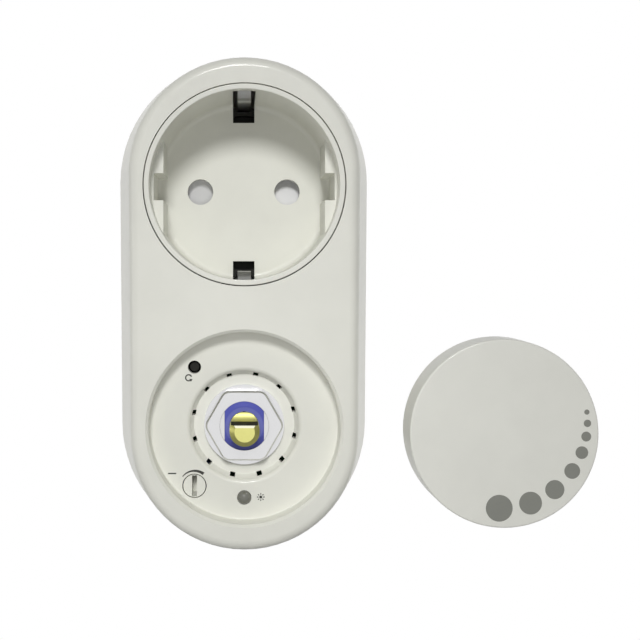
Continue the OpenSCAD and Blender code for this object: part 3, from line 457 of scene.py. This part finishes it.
# Small sun right of the lens
SUN_CENTER = middle_of("indicator_led") + Vector((3.4, 0, 0.1)) * MM
SUN_DISC = 0.3 * MM
RAY_COUNT = 8
RAY_NEAR = 0.48 * MM
RAY_FAR = 0.8 * MM
RAY_HALF = 0.09 * MM
sun = [ring_points(0, 0, SUN_DISC, count=20)]
for i in range(RAY_COUNT):
    angle = math.tau * i / RAY_COUNT
    run = Vector((math.cos(angle), math.sin(angle)))
    near = run * RAY_NEAR
    far = run * RAY_FAR
    aside = Vector((-run.y, run.x)) * RAY_HALF
    sun.append([near - aside, far - aside, far + aside, near + aside])
inked("light_sign", sun, SUN_CENTER, recess_y, print_dark, "housing")

# Camera at the photograph's point of view, looking straight at the front
CAMERA_X = -1.8 * MM
CAMERA_Z = -19.07 * MM
CAMERA_DISTANCE = 195 * MM
camera_data = bpy.data.cameras.new("camera")
camera = bpy.data.objects.new("camera", camera_data)
bpy.context.scene.collection.objects.link(camera)
camera.location = (CAMERA_X, front_y - CAMERA_DISTANCE, CAMERA_Z)
camera.rotation_euler = (math.radians(90), 0, 0)
camera_data.sensor_width = 36
camera_data.lens = 54.5
camera_data.shift_x = 0.132
camera_data.shift_y = -0.064
camera_data.clip_start = 10 * MM
bpy.context.scene.camera = camera


def lamp(name, kind, energy, location, target, **settings):
    """A lamp that shines from a place towards a target."""
    data = bpy.data.lights.new(name, kind)
    data.energy = energy
    for key, value in settings.items():
        setattr(data, key, value)
    piece = bpy.data.objects.new(name, data)
    piece.location = location
    piece.rotation_euler = (target - location).to_track_quat("-Z", "Y").to_euler()
    bpy.context.scene.collection.objects.link(piece)
    return piece


# Lamps: a key high in front, a weak one close to the front, one from the left, and fills from behind that
# light the side walls. The close lamp and the fills leave no gloss
KEY_POWER = 1.74
HEAD_POWER = 0.0165
SIDE_POWER = 0.35
LEFT_POWER = 1.06
RIGHT_POWER = 1.7
LOW_POWER = 0.3
WORLD_POWER = 0.065
LIT_Z = -28 * MM
KEY_RISE = math.radians(27.8)
KEY_ASIDE = -0.03
KEY_WIDTH = math.radians(14)
HEAD_DISTANCE = 80 * MM
HEAD_SIZE = 40 * MM
SIDE_FROM = Vector((-0.97, -0.2, 0))
SIDE_WIDTH = math.radians(20)
FILLS = (
    ("left_fill", LEFT_POWER, Vector((-0.7, 0.71, 0))),
    ("right_fill", RIGHT_POWER, Vector((0.7, 0.71, 0))),
    ("low_fill", LOW_POWER, Vector((0, 0.7, -0.7))),
)
FILL_WIDTH = math.radians(20)
middle = Vector((0, front_y, LIT_Z))
key_from = Vector((KEY_ASIDE, -math.cos(KEY_RISE), math.sin(KEY_RISE)))
head_from = Vector((0, -HEAD_DISTANCE, 0))
lamp("key", "SUN", KEY_POWER, middle + key_from, middle, angle=KEY_WIDTH)
head = lamp("head", "AREA", HEAD_POWER, middle + head_from, middle, shape="DISK", size=HEAD_SIZE)
head.visible_glossy = False
head.visible_camera = False
lamp("side", "SUN", SIDE_POWER, middle + SIDE_FROM, middle, angle=SIDE_WIDTH)
for fill_name, fill_power, fill_from in FILLS:
    fill = lamp(fill_name, "SUN", fill_power, middle + fill_from, middle, angle=FILL_WIDTH)
    fill.visible_glossy = False


def white_to_view(tree, plain_strength, seen_strength=1.0):
    """The seen strength for rays that the viewer sees, in gloss and glass too, else the plain one."""
    path = tree.nodes.new("ShaderNodeLightPath")
    seen = path.outputs["Is Camera Ray"]
    for output in ("Is Glossy Ray", "Is Transmission Ray"):
        larger = tree.nodes.new("ShaderNodeMath")
        larger.operation = "MAXIMUM"
        tree.links.new(seen, larger.inputs[0])
        tree.links.new(path.outputs[output], larger.inputs[1])
        seen = larger.outputs[0]
    strength = tree.nodes.new("ShaderNodeMapRange")
    strength.inputs["To Min"].default_value = plain_strength
    strength.inputs["To Max"].default_value = seen_strength
    tree.links.new(seen, strength.inputs["Value"])
    return strength.outputs["Result"]


# White background
world = bpy.data.worlds.new("studio")
bpy.context.scene.world = world
world.use_nodes = True
background = world.node_tree.nodes["Background"]
background.inputs["Color"].default_value = WHITE
world.node_tree.links.new(white_to_view(world.node_tree, WORLD_POWER), background.inputs["Strength"])

# Pale floor, below the photograph's view. Its glow shows only to the viewer, in gloss too, and lights nothing
FLOOR_Z = -0.3
FLOOR_HALF = 0.45
FLOOR_GLOW = 0.45
floor_corners = [(x * FLOOR_HALF, y * FLOOR_HALF, FLOOR_Z) for x, y in ((-1, -1), (1, -1), (1, 1), (-1, 1))]
floor_mesh = bpy.data.meshes.new("floor")
floor_mesh.from_pydata(floor_corners, [], [(0, 1, 2, 3)])
floor = bpy.data.objects.new("floor", floor_mesh)
bpy.context.scene.collection.objects.link(floor)
floor_material = moulded("floor", FLOOR_WHITE, roughness=0.8)
floor_tree = floor_material.node_tree
floor_shader = floor_tree.nodes["Principled BSDF"]
floor_shader.inputs["Emission Color"].default_value = WHITE
floor_tree.links.new(white_to_view(floor_tree, 0.0, FLOOR_GLOW), floor_shader.inputs["Emission Strength"])
floor_mesh.materials.append(floor_material)

bpy.context.scene.view_settings.view_transform = "Standard"
